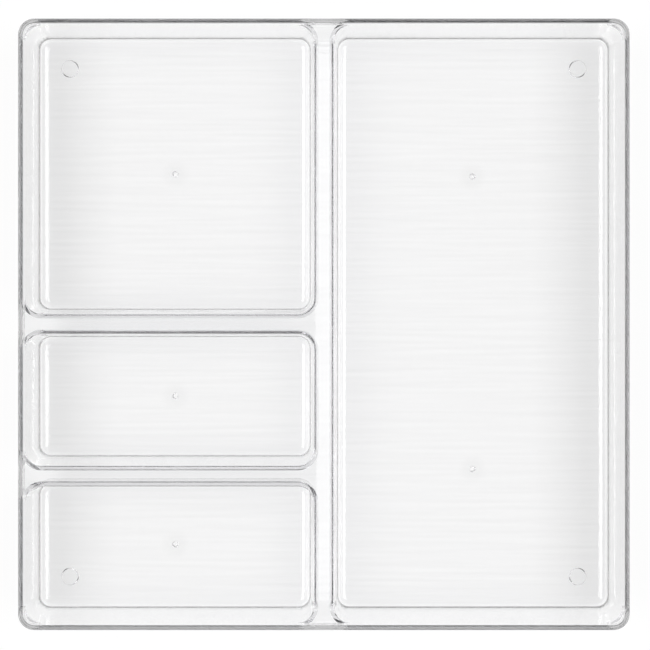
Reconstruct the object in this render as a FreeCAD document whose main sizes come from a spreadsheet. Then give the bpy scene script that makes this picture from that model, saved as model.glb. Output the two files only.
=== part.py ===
import FreeCAD, Part
import math
import os
import Sketcher

# Driving sizes in millimetres and degrees, each written once.
SIZES = {
    "side": 304.8,              # outer width and length across the rim
    "height": 50.8,             # from the feet to the rim
    "draft": 3.0,               # lean of every wall
    "wall": 2.4,                # walls, dividers and the web over them
    "floor": 2.4,               # floor plate
    "rim_corner": 8.0,          # outer plan radius at the rim
    "rim_round": 0.7,           # rounded outer edge of the rim
    "rim_bevel": 0.4,           # broken inner edge of the rim
    "divider_drop": 6.0,        # divider tops below the rim
    "divider_width": 10.2,      # across the top of a divider
    "divider_bevel": 0.4,       # broken upper edge of the dividers
    "row_pitch": 76.2,          # from the middle divider to the front one
    "pocket_corner": 8.0,       # plan radius of a compartment at its top
    "pocket_floor_round": 5.0,  # from a compartment's wall into its floor
    "bottom_round": 2.5,        # from the walls into the underside
    "foot_height": 1.2,
    "foot_diameter": 9.0,
    "foot_bevel": 0.4,
    "foot_spacing": 265.0,      # between foot centres
    "gate_diameter": 3.4,       # of a dished gate mark in the underside
    "gate_depth": 0.6,
    "gate_lean": 50.0,          # of the side of a gate mark
    "gate_pitch": 76.2,         # gates of the long compartment from its middle
}

# Levels and half widths, as text for the expressions.
LEDGE = "(Sizes.height - Sizes.divider_drop)"
WEB = "(Sizes.height - Sizes.divider_drop - Sizes.wall)"
UNDERSIDE = "Sizes.foot_height"
FLOOR = "(Sizes.foot_height + Sizes.floor)"
HALF_DIVIDER = "Sizes.divider_width / 2"


def outer(level):
    """Half width of the outside at a level."""
    return f"(Sizes.side / 2 - (Sizes.height - {level}) * tan(Sizes.draft))"


def outer_corner(level):
    """Plan radius of the outside at a level."""
    return f"(Sizes.rim_corner - (Sizes.height - {level}) * tan(Sizes.draft))"


def inner(level):
    """Half width inside the walls at a level."""
    return f"({outer(level)} - Sizes.wall)"


def divider(level):
    """Half width of a divider at a level."""
    return f"({HALF_DIVIDER} + ({LEDGE} - {level}) * tan(Sizes.draft))"


def pocket_corner(level):
    """Plan radius of a compartment at a level."""
    return f"(Sizes.pocket_corner - ({LEDGE} - {level}) * tan(Sizes.draft))"


def make_sheet(doc):
    """Put the sizes into a sheet with an alias for each."""
    sheet = doc.addObject("Spreadsheet::Sheet", "Sizes")
    for row, (alias, value) in enumerate(SIZES.items(), start=1):
        sheet.set(f"A{row}", alias)
        sheet.set(f"B{row}", str(value))
        sheet.setAlias(f"B{row}", alias)
    doc.recompute()
    return sheet


def value_of(sketch, text):
    """Present value of an expression, as a start value for a constraint."""
    return float(sketch.evalExpression(text))


def new_sketch(body, name, level):
    """Sketch on the body's horizontal plane, lifted to a level."""
    sketch = body.newObject("Sketcher::SketchObject", name)
    plane = [item for item in body.Origin.OriginFeatures if item.Role == "XY_Plane"][0]
    sketch.AttachmentSupport = [(plane, "")]
    sketch.MapMode = "FlatFace"
    sketch.setExpression("AttachmentOffset.Base.z", level)
    return sketch


def bind(sketch, name, constraint, text):
    """Add a dimension, name it and tie it to the sheet."""
    index = sketch.addConstraint(constraint)
    sketch.renameConstraint(index, name)
    sketch.setExpression(f"Constraints.{name}", text)


def add_rounded_box(sketch, name, sides, radius):
    """Rounded rectangle from its left, right, front and back expressions."""
    left, right, front, back = [value_of(sketch, side) for side in sides]
    r = value_of(sketch, radius)
    corners = [(right - r, front + r), (right - r, back - r), (left + r, back - r), (left + r, front + r)]
    ends = [
        ((left + r, front), (right - r, front)),
        ((right, front + r), (right, back - r)),
        ((right - r, back), (left + r, back)),
        ((left, back - r), (left, front + r)),
    ]
    lines = []
    arcs = []
    for index in range(4):
        start, end = [FreeCAD.Vector(x, y, 0) for x, y in ends[index]]
        lines.append(sketch.addGeometry(Part.LineSegment(start, end)))
        circle = Part.Circle(FreeCAD.Vector(*corners[index], 0), FreeCAD.Vector(0, 0, 1), r)
        turn = (index - 1) * math.pi / 2
        arcs.append(sketch.addGeometry(Part.ArcOfCircle(circle, turn, turn + math.pi / 2)))
    for index in range(4):
        following = lines[(index + 1) % 4]
        sketch.addConstraint(Sketcher.Constraint("Tangent", lines[index], 2, arcs[index], 1))
        sketch.addConstraint(Sketcher.Constraint("Tangent", arcs[index], 2, following, 1))
        direction = "Horizontal" if index % 2 == 0 else "Vertical"
        sketch.addConstraint(Sketcher.Constraint(direction, lines[index]))
    for arc in arcs[1:]:
        sketch.addConstraint(Sketcher.Constraint("Equal", arcs[0], arc))
    bind(sketch, f"{name}_left", Sketcher.Constraint("DistanceX", -1, 1, lines[3], 1, left), sides[0])
    bind(sketch, f"{name}_right", Sketcher.Constraint("DistanceX", -1, 1, lines[1], 1, right), sides[1])
    bind(sketch, f"{name}_front", Sketcher.Constraint("DistanceY", -1, 1, lines[0], 1, front), sides[2])
    bind(sketch, f"{name}_back", Sketcher.Constraint("DistanceY", -1, 1, lines[2], 1, back), sides[3])
    bind(sketch, f"{name}_radius", Sketcher.Constraint("Radius", arcs[0], r), radius)


def add_circle(sketch, name, place, diameter):
    """Circle from the expressions for its centre and diameter."""
    x, y = [value_of(sketch, text) for text in place]
    size = value_of(sketch, diameter)
    circle = Part.Circle(FreeCAD.Vector(x, y, 0), FreeCAD.Vector(0, 0, 1), size / 2)
    edge = sketch.addGeometry(circle)
    bind(sketch, f"{name}_diameter", Sketcher.Constraint("Diameter", edge, size), diameter)
    bind(sketch, f"{name}_x", Sketcher.Constraint("DistanceX", -1, 1, edge, 3, x), place[0])
    bind(sketch, f"{name}_y", Sketcher.Constraint("DistanceY", -1, 1, edge, 3, y), place[1])


def compartments(level, grow):
    """Sides of the four compartments at a level, grown outwards by an amount."""
    far = f"({inner(level)} + {grow})"
    near = f"({divider(level)} - {grow})"
    return {
        "back_left": (f"-{far}", f"-{near}", near, far),
        "middle_left": (f"-{far}", f"-{near}", f"-Sizes.row_pitch + {near}", f"-{near}"),
        "front_left": (f"-{far}", f"-{near}", f"-{far}", f"-Sizes.row_pitch - {near}"),
        "right": (near, far, f"-{far}", far),
    }


def whole_outline(level, inset, radius):
    """Sides and corner of an outline that follows the outside at a level."""
    half = f"({outer(level)} - {inset})"
    return (f"-{half}", half, f"-{half}", half), radius


def extrude(body, kind, name, sketch, length, lean=None, reverse=False):
    """Pad or pocket a sketch, with its sizes tied to the sheet."""
    feature = body.newObject(f"PartDesign::{kind}", name)
    feature.Profile = sketch
    feature.Type = "Length"
    feature.Reversed = reverse
    feature.setExpression("Length", length)
    if lean:
        feature.setExpression("TaperAngle", lean)
    sketch.Visibility = False
    body.Document.recompute()
    return feature


def edges_at(shape, level, choose=None):
    """Names of the edges that lie flat at a level."""
    names = []
    for index, edge in enumerate(shape.Edges, start=1):
        box = edge.BoundBox
        if abs(box.ZMin - level) > 1e-4 or abs(box.ZMax - level) > 1e-4:
            continue
        if choose is None or choose(edge):
            names.append(f"Edge{index}")
    return names


def span(edge):
    """Furthest reach of an edge from the middle of the tray, along X or Y."""
    box = edge.BoundBox
    return max(-box.XMin, box.XMax, -box.YMin, box.YMax)


def round_edges(body, name, base, edges, radius):
    """Fillet the named edges of a feature."""
    feature = body.newObject("PartDesign::Fillet", name)
    feature.Base = (base, edges)
    feature.setExpression("Radius", radius)
    body.Document.recompute()
    return feature


def bevel_edges(body, name, base, edges, size):
    """Bevel the named edges of a feature."""
    feature = body.newObject("PartDesign::Chamfer", name)
    feature.Base = (base, edges)
    feature.setExpression("Size", size)
    body.Document.recompute()
    return feature


def make_tubs(body, sheet):
    """Outside of the compartments, with the hollows of the dividers left between them."""
    sketch = new_sketch(body, "TubOutlines", UNDERSIDE)
    for name, sides in compartments(UNDERSIDE, "Sizes.wall").items():
        add_rounded_box(sketch, name, sides, f"{pocket_corner(UNDERSIDE)} + Sizes.wall")
    tubs = extrude(body, "Pad", "Tubs", sketch, f"{WEB} - {UNDERSIDE}", "Sizes.draft")
    edges = edges_at(tubs.Shape, sheet.foot_height)
    return round_edges(body, "BottomRound", tubs, edges, "Sizes.bottom_round")


def make_web(body):
    """Plate that joins the tubs and closes the dividers at the top."""
    sketch = new_sketch(body, "WebOutline", WEB)
    sides, radius = whole_outline(WEB, "0", outer_corner(WEB))
    add_rounded_box(sketch, "web", sides, radius)
    return extrude(body, "Pad", "Web", sketch, "Sizes.wall", "Sizes.draft")


def make_compartments(body, sheet):
    """Compartments with rounded floors and broken upper edges."""
    sketch = new_sketch(body, "CompartmentOutlines", LEDGE)
    for name, sides in compartments(LEDGE, "0").items():
        add_rounded_box(sketch, name, sides, pocket_corner(LEDGE))
    pockets = extrude(body, "Pocket", "Compartments", sketch, f"{LEDGE} - {FLOOR}", "-Sizes.draft")
    edges = edges_at(pockets.Shape, sheet.foot_height + sheet.floor)
    floors = round_edges(body, "FloorRound", pockets, edges, "Sizes.pocket_floor_round")
    ledge = sheet.height - sheet.divider_drop
    reach = sheet.side / 2 - sheet.divider_drop * math.tan(math.radians(sheet.draft)) - sheet.wall / 2
    edges = edges_at(floors.Shape, ledge, lambda edge: span(edge) < reach)
    return bevel_edges(body, "DividerBevel", floors, edges, "Sizes.divider_bevel")


def make_rim(body, sheet):
    """Band of wall above the dividers, with soft edges at its top."""
    sketch = new_sketch(body, "RimOutline", WEB)
    sides, radius = whole_outline(WEB, "0", outer_corner(WEB))
    add_rounded_box(sketch, "outside", sides, radius)
    sides, radius = whole_outline(WEB, "Sizes.wall", f"{outer_corner(WEB)} - Sizes.wall")
    add_rounded_box(sketch, "inside", sides, radius)
    rim = extrude(body, "Pad", "Rim", sketch, "Sizes.divider_drop + Sizes.wall", "Sizes.draft")
    middle = sheet.side / 2 - sheet.wall / 2
    edges = edges_at(rim.Shape, sheet.height, lambda edge: span(edge) > middle)
    rounded = round_edges(body, "RimRound", rim, edges, "Sizes.rim_round")
    edges = edges_at(rounded.Shape, sheet.height, lambda edge: span(edge) < middle)
    return bevel_edges(body, "RimBevel", rounded, edges, "Sizes.rim_bevel")


def make_feet(body):
    """Four round feet under the corners."""
    sketch = new_sketch(body, "FootOutlines", UNDERSIDE)
    half = "Sizes.foot_spacing / 2"
    for name, (x, y) in {"a": (1, 1), "b": (-1, 1), "c": (-1, -1), "d": (1, -1)}.items():
        add_circle(sketch, f"foot_{name}", (f"{x} * {half}", f"{y} * {half}"), "Sizes.foot_diameter")
    feet = extrude(body, "Pad", "Feet", sketch, "Sizes.foot_height", None, True)
    return bevel_edges(body, "FootBevel", feet, edges_at(feet.Shape, 0.0), "Sizes.foot_bevel")


def make_gates(body):
    """Dished round gate marks in the underside."""
    across = f"({inner(LEDGE)} + {HALF_DIVIDER}) / 2"
    places = {
        "back_left": (f"-{across}", across),
        "middle_left": (f"-{across}", "-Sizes.row_pitch / 2"),
        "front_left": (f"-{across}", f"-({inner(LEDGE)} + Sizes.row_pitch + {HALF_DIVIDER}) / 2"),
        "right_back": (across, "Sizes.gate_pitch"),
        "right_front": (across, "-Sizes.gate_pitch"),
    }
    sketch = new_sketch(body, "GateOutlines", UNDERSIDE)
    for name, place in places.items():
        add_circle(sketch, f"gate_{name}", place, "Sizes.gate_diameter")
    return extrude(body, "Pocket", "GateMarks", sketch, "Sizes.gate_depth", "-Sizes.gate_lean", True)


def make_tray(doc, sheet):
    """The moulded tray, from the bottom up."""
    body = doc.addObject("PartDesign::Body", "OrganizerTray")
    body.Label = "organizer_tray"
    make_tubs(body, sheet)
    make_web(body)
    make_compartments(body, sheet)
    make_rim(body, sheet)
    make_feet(body)
    make_gates(body)
    body.Placement = FreeCAD.Placement()
    return body


def check(doc, bodies):
    """Stop if anything in the document failed or a shape is unsound."""
    for item in doc.Objects:
        if "Invalid" in item.State or "Error" in item.State:
            raise RuntimeError(f"{item.Name} failed: {item.State}")
    for body in bodies:
        shape = body.Shape
        if shape.isNull() or not shape.isValid() or len(shape.Solids) != 1:
            raise RuntimeError(f"{body.Label} is not one valid solid")


def main():
    """Build the document and write each sub-part."""
    doc = FreeCAD.newDocument("DrawerOrganizer")
    sheet = make_sheet(doc)
    bodies = [make_tray(doc, sheet)]
    doc.recompute()
    check(doc, bodies)
    os.makedirs("parts", exist_ok=True)
    for body in bodies:
        body.Shape.exportStep(f"parts/{body.Label}.step")


main()
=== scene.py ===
import math

import bmesh
import bpy
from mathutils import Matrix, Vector


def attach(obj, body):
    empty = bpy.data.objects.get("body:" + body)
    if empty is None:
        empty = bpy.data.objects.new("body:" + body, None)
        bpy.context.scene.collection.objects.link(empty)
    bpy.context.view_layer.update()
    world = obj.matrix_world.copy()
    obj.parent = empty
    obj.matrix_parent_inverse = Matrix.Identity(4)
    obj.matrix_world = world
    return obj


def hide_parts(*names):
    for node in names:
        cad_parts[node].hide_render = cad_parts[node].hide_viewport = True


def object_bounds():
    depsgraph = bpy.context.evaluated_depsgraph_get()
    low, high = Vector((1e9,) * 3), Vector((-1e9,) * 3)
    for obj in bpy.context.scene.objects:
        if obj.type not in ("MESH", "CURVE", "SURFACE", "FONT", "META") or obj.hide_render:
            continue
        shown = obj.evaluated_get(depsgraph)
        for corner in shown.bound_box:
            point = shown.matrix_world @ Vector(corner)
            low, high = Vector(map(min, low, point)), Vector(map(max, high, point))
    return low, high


# The photograph, in pixels.
IMAGE = 650                   # its width
SCALE = 2008.0                # pixels to a metre at the rim
NADIR = (323.5, 290.0)        # straight under the camera
MIDDLE = (323.9, 324.3)       # the tray's middle at the rim
CAMERA_HEIGHT = 1.015         # metres above the rim
SENSOR = 36.0                 # millimetres

# The plastic. Lengths are in metres, from the tray's middle and from the ground.
IOR = 1.5
ABSORPTION = 4.0              # for each metre of depth
LEAST_ROUGH, MOST_ROUGH = 0.004, 0.02
LINE_PAINTED_SHADE, LINE_UNSHADED = 0.945, 1.015       # painted shade in the fine tool lines, in place of the light they bend onto the ground, cut off at 1
HAZE_BY_HEIGHT = (            # roughness added: on the gate marks, and where walls meet the floors
    (0.0, 0.0), (0.00125, 0.0), (0.0013, 0.45), (0.0018, 0.45), (0.0020, 0.0),
    (0.0036, 0.0), (0.0045, 0.2), (0.0070, 0.2), (0.0100, 0.0),
)
RIM_PAINTED_SHADE_BY_HEIGHT = (            # painted shade: darker rim, in place of the dark light led up inside the walls
    (0.0, 1.0), (0.0495, 1.0), (0.0503, 0.37), (0.0510, 0.37),
)
GATES = (                     # middles of the gate marks
    (-0.0774, 0.0774), (-0.0774, -0.0381), (-0.0774, -0.1155),
    (0.0774, 0.0762), (0.0774, -0.0762),
)
GATE_LEVEL = 0.0024           # half way up the floor plate
BLUSH_CORE, BLUSH_EDGE = 0.003, 0.008      # radii of the blush round a gate mark
BLUSH_TINT = 0.965
SHARP = math.radians(25)      # a wider angle between two faces shows as an edge

# Light that a face lets through to the ground.
STRAIGHT_SHARE = (0.99, 0.99, 0.99, 1.0)   # seen straight on
GRAZING_SHARE = (0.76, 0.765, 0.79, 1.0)   # seen at a low angle
SIDE_SHARE = 0.34             # times this in the side walls
SIDE_START, SIDE_END = 0.1455, 0.1475

# The studio.
FLOOR_SIZE = 8
FLOOR_GAP = 0.0002            # under the feet
FLOOR_COLOUR = (0.96, 0.96, 0.96, 1.0)
WHITE_TO_CAMERA = 0.93        # share of plain white where the camera sees the floor
WHITE_TO_GLASS = 0.7          # and where the plastic shows it
WORLD_LOW = (0.85, 0.85, 0.85, 1.0)        # round the horizon
WORLD_HIGH = (0.1, 0.1, 0.1, 1.0)          # overhead
WORLD_ENDS = 0.4              # strength in front and behind, against 1 at the sides
WHITE = (1.0, 1.0, 1.0, 1.0)
LAMP_HEIGHT = 1.9
SIDE_LAMP = {"size": (1.8, 0.9), "power": 31.0}
SIDE_LAMP_X = 1.1
STRIP_LAMP = {"size": (0.022, 0.78), "power": 0.075}   # shows in the web of the middle divider
STRIP_LAMP_Y = -0.03
BOUNCES = 32                  # for the light that is led along inside the walls

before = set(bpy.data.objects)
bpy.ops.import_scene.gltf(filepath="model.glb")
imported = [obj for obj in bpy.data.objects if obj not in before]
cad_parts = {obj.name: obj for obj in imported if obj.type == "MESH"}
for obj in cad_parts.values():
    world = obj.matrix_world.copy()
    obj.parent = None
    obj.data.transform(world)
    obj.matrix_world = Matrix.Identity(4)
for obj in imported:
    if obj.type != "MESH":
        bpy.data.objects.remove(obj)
cad_box = [list(corner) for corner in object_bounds()]


def new_nodes(owner):
    """Emptied node tree of a material or a world."""
    owner.use_nodes = True
    owner.node_tree.nodes.clear()
    return owner.node_tree


def add(tree, kind, **settings):
    """Node of a kind, with its settings."""
    node = tree.nodes.new(kind)
    for key, value in settings.items():
        setattr(node, key, value)
    return node


def put(node, **values):
    """Values of a node's inputs, with underscores for the spaces of their names."""
    for key, value in values.items():
        node.inputs[key.replace("_", " ")].default_value = value
    return node


def maths(tree, operation, *values):
    """Result of a Math node on sockets and plain numbers."""
    node = add(tree, "ShaderNodeMath", operation=operation)
    for socket, value in zip(node.inputs, values):
        if isinstance(value, float):
            socket.default_value = value
        else:
            tree.links.new(value, socket)
    return node.outputs["Value"]


def ranged(tree, value, low, high, start=0.0, end=1.0):
    """Value moved from start..end to low..high."""
    node = add(tree, "ShaderNodeMapRange")
    put(node, From_Min=start, From_Max=end, To_Min=low, To_Max=high)
    tree.links.new(value, node.inputs["Value"])
    return node.outputs["Result"]


def ramp(tree, value, stops):
    """Colour that runs through the given stops."""
    node = add(tree, "ShaderNodeValToRGB")
    elements = node.color_ramp.elements
    while len(elements) < len(stops):
        elements.new(0.5)
    for element, (position, colour) in zip(elements, stops):
        element.position, element.color = position, colour
    tree.links.new(value, node.inputs["Fac"])
    return node.outputs["Color"]


def apart(tree, vector):
    """X, Y and Z of a vector."""
    node = add(tree, "ShaderNodeSeparateXYZ")
    tree.links.new(vector, node.inputs["Vector"])
    return node.outputs


def mixed(tree, share, first, second):
    """First shader with a share of the second."""
    node = add(tree, "ShaderNodeMixShader")
    for value, socket in zip((share, first, second), node.inputs):
        tree.links.new(value, socket)
    return node.outputs["Shader"]


def any_ray(tree, *names):
    """One for rays of any of the named kinds."""
    path = add(tree, "ShaderNodeLightPath")
    value = path.outputs[names[0]]
    for name in names[1:]:
        value = maths(tree, "MAXIMUM", value, path.outputs[name])
    return value


def stretched_noise(tree, coords, stretch, scale, detail):
    """Noise drawn out along the axes with a low stretch."""
    mapping = add(tree, "ShaderNodeMapping")
    mapping.inputs["Scale"].default_value = stretch
    noise = put(add(tree, "ShaderNodeTexNoise"), Scale=scale, Detail=detail)
    tree.links.new(coords, mapping.inputs["Vector"])
    tree.links.new(mapping.outputs["Vector"], noise.inputs["Vector"])
    return noise.outputs["Fac"]


def bumped(tree, height, distance, strength, before=None):
    """Bump from a height, on top of another one."""
    node = put(add(tree, "ShaderNodeBump"), Strength=strength, Distance=distance)
    tree.links.new(height, node.inputs["Height"])
    if before:
        tree.links.new(before, node.inputs["Normal"])
    return node.outputs["Normal"]


def by_height(tree, coords, stops):
    """Value that runs through the given stops with the height."""
    top = stops[-1][0]
    height = ranged(tree, apart(tree, coords)["Z"], 0.0, 1.0, 0.0, top)
    return ramp(tree, height, [(z / top, (value, value, value, 1.0)) for z, value in stops])


def gate_blush(tree, coords):
    """Tint of the slightly duller plastic round the gate marks."""
    nearest = None
    for x, y in GATES:
        node = add(tree, "ShaderNodeVectorMath", operation="DISTANCE")
        node.inputs[1].default_value = (x, y, GATE_LEVEL)
        tree.links.new(coords, node.inputs[0])
        away = node.outputs["Value"]
        nearest = maths(tree, "MINIMUM", nearest, away) if nearest else away
    return ranged(tree, nearest, BLUSH_TINT, 1.0, BLUSH_CORE, BLUSH_EDGE)


def let_through(tree):
    """Transparent shader for light on its way to the ground and back from it."""
    facing = add(tree, "ShaderNodeLayerWeight").outputs["Facing"]
    share = ramp(tree, facing, ((0.2, STRAIGHT_SHARE), (0.9, GRAZING_SHARE)))
    coords = add(tree, "ShaderNodeTexCoord").outputs["Object"]
    out = maths(tree, "ABSOLUTE", apart(tree, coords)["X"])
    scaled = add(tree, "ShaderNodeVectorMath", operation="SCALE")
    tree.links.new(share, scaled.inputs[0])
    tree.links.new(
        ranged(tree, out, 1.0, SIDE_SHARE, SIDE_START, SIDE_END), scaled.inputs["Scale"]
    )
    through = add(tree, "ShaderNodeBsdfTransparent")
    tree.links.new(scaled.outputs["Vector"], through.inputs["Color"])
    return through.outputs["BSDF"]


def clear_plastic():
    """Clear moulded plastic with fine tool lines, slight waves and haze, with painted shade along
    the tool lines and on the rim.
    """
    material = bpy.data.materials.new("clear_plastic_look")
    tree = new_nodes(material)
    shader = put(add(tree, "ShaderNodeBsdfPrincipled"), IOR=IOR, Transmission_Weight=1.0)
    coords = add(tree, "ShaderNodeTexCoord").outputs["Object"]
    lines = stretched_noise(tree, coords, (14, 500, 14), 1, 2)
    waves = stretched_noise(tree, coords, (1, 1, 1), 25, 1)

    haze = stretched_noise(tree, coords, (1, 1, 1), 18, 3)
    haze = ranged(tree, haze, LEAST_ROUGH, MOST_ROUGH)
    haze = maths(tree, "ADD", haze, by_height(tree, coords, HAZE_BY_HEIGHT))
    tree.links.new(haze, shader.inputs["Roughness"])

    # Painted shade: the rim's colour is darkened.
    blush_and_painted_shade = by_height(tree, coords, RIM_PAINTED_SHADE_BY_HEIGHT)
    blush_and_painted_shade = maths(tree, "MULTIPLY", blush_and_painted_shade, gate_blush(tree, coords))
    # Painted shade: the tool lines darken the colour, in place of the light they bend onto the
    # ground.
    painted_line_shade = maths(tree, "MINIMUM", ranged(tree, lines, LINE_PAINTED_SHADE, LINE_UNSHADED), 1.0)
    blush_and_painted_shade = maths(tree, "MULTIPLY", blush_and_painted_shade, painted_line_shade)
    tree.links.new(blush_and_painted_shade, shader.inputs["Base Color"])

    normal = bumped(tree, lines, 0.00002, 0.5)
    normal = bumped(tree, waves, 0.0001, 0.5, normal)
    tree.links.new(normal, shader.inputs["Normal"])

    passing = any_ray(tree, "Is Shadow Ray", "Is Diffuse Ray")
    surface = mixed(tree, passing, shader.outputs["BSDF"], let_through(tree))
    depth = add(tree, "ShaderNodeVolumeAbsorption")
    put(depth, Color=(0.0, 0.0, 0.05, 1.0), Density=ABSORPTION)
    out = add(tree, "ShaderNodeOutputMaterial")
    tree.links.new(surface, out.inputs["Surface"])
    tree.links.new(depth.outputs["Volume"], out.inputs["Volume"])
    return material


def add_tray(node, material):
    """The tray with its faces joined and its true smooth shading, in place of the CAD node."""
    mesh = node.data.copy()
    mesh.attributes.remove(mesh.attributes["custom_normal"])
    work = bmesh.new()
    work.from_mesh(mesh)
    bmesh.ops.remove_doubles(work, verts=work.verts, dist=1e-6)
    for edge in work.edges:
        edge.smooth = edge.calc_face_angle(math.pi) < SHARP
    for face in work.faces:
        face.smooth = True
    work.to_mesh(mesh)
    work.free()
    mesh.materials.clear()
    mesh.materials.append(material)
    tray = bpy.data.objects.new("tray", mesh)
    bpy.context.scene.collection.objects.link(tray)
    shading = tray.modifiers.new("even_shading", "WEIGHTED_NORMAL")
    shading.mode = "FACE_AREA"
    shading.weight = 90
    shading.keep_sharp = True
    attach(tray, "root")
    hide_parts("organizer_tray")


def add_floor():
    """Pale floor, partly white by itself where it is seen, that keeps the object's shadow."""
    bpy.ops.mesh.primitive_plane_add(size=FLOOR_SIZE)
    floor = bpy.context.object
    floor.name = "studio_floor"
    floor.location.z = -FLOOR_GAP
    material = bpy.data.materials.new("studio_floor")
    tree = new_nodes(material)
    diffuse = put(add(tree, "ShaderNodeBsdfDiffuse"), Color=FLOOR_COLOUR)
    glow = put(add(tree, "ShaderNodeEmission"), Strength=1.0)
    seen = maths(tree, "MULTIPLY", any_ray(tree, "Is Camera Ray"), WHITE_TO_CAMERA)
    shown = any_ray(tree, "Is Glossy Ray", "Is Transmission Ray")
    share = maths(tree, "MULTIPLY_ADD", shown, WHITE_TO_GLASS, seen)
    surface = mixed(tree, share, diffuse.outputs["BSDF"], glow.outputs["Emission"])
    out = add(tree, "ShaderNodeOutputMaterial")
    tree.links.new(surface, out.inputs["Surface"])
    floor.data.materials.append(material)


def add_world():
    """Studio light, bright at the sides and dimmer overhead, on a white background."""
    world = bpy.data.worlds.new("studio")
    bpy.context.scene.world = world
    tree = new_nodes(world)
    ways = apart(tree, add(tree, "ShaderNodeTexCoord").outputs["Generated"])
    light = add(tree, "ShaderNodeBackground")
    white = put(add(tree, "ShaderNodeBackground"), Color=WHITE, Strength=1.0)
    colour = ramp(tree, ways["Z"], ((0.0, WORLD_LOW), (0.9, WORLD_HIGH)))
    across = maths(tree, "ABSOLUTE", ways["X"])
    tree.links.new(colour, light.inputs["Color"])
    tree.links.new(ranged(tree, across, WORLD_ENDS, 1.0, 0.2, 0.7), light.inputs["Strength"])
    background = mixed(
        tree, any_ray(tree, "Is Camera Ray"),
        light.outputs["Background"], white.outputs["Background"],
    )
    out = add(tree, "ShaderNodeOutputWorld")
    tree.links.new(background, out.inputs["Surface"])


def add_lamp(x, y, size, power):
    """Soft lamp high over the given place, turned towards the tray."""
    data = bpy.data.lights.new("softbox", "AREA")
    data.shape = "RECTANGLE"
    data.size, data.size_y = size
    data.energy = power
    lamp = bpy.data.objects.new("softbox", data)
    lamp.location = (x, y, LAMP_HEIGHT)
    lamp.rotation_euler = (-Vector(lamp.location)).to_track_quat("-Z", "Y").to_euler()
    lamp.visible_camera = False
    bpy.context.scene.collection.objects.link(lamp)


def add_camera(rim):
    """Camera straight above the tray, a little towards the back."""
    data = bpy.data.cameras.new("camera")
    camera = bpy.data.objects.new("camera", data)
    bpy.context.scene.collection.objects.link(camera)
    across = (NADIR[0] - MIDDLE[0]) / SCALE
    back = (MIDDLE[1] - NADIR[1]) / SCALE
    camera.location = (across, back, rim + CAMERA_HEIGHT)
    data.sensor_width = SENSOR
    data.lens = SENSOR * CAMERA_HEIGHT * SCALE / IMAGE
    data.shift_x = (IMAGE / 2 - NADIR[0]) / IMAGE
    data.shift_y = (NADIR[1] - IMAGE / 2) / IMAGE
    bpy.context.scene.camera = camera


add_tray(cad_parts["organizer_tray"], clear_plastic())
add_floor()
add_world()
for side in (-1, 1):
    add_lamp(side * SIDE_LAMP_X, 0.0, **SIDE_LAMP)
add_lamp(0.0, STRIP_LAMP_Y, **STRIP_LAMP)
add_camera(cad_box[1][2])
bpy.context.scene.view_settings.view_transform = "Standard"
cycles = bpy.context.scene.cycles
cycles.max_bounces = cycles.transmission_bounces = cycles.glossy_bounces = BOUNCES
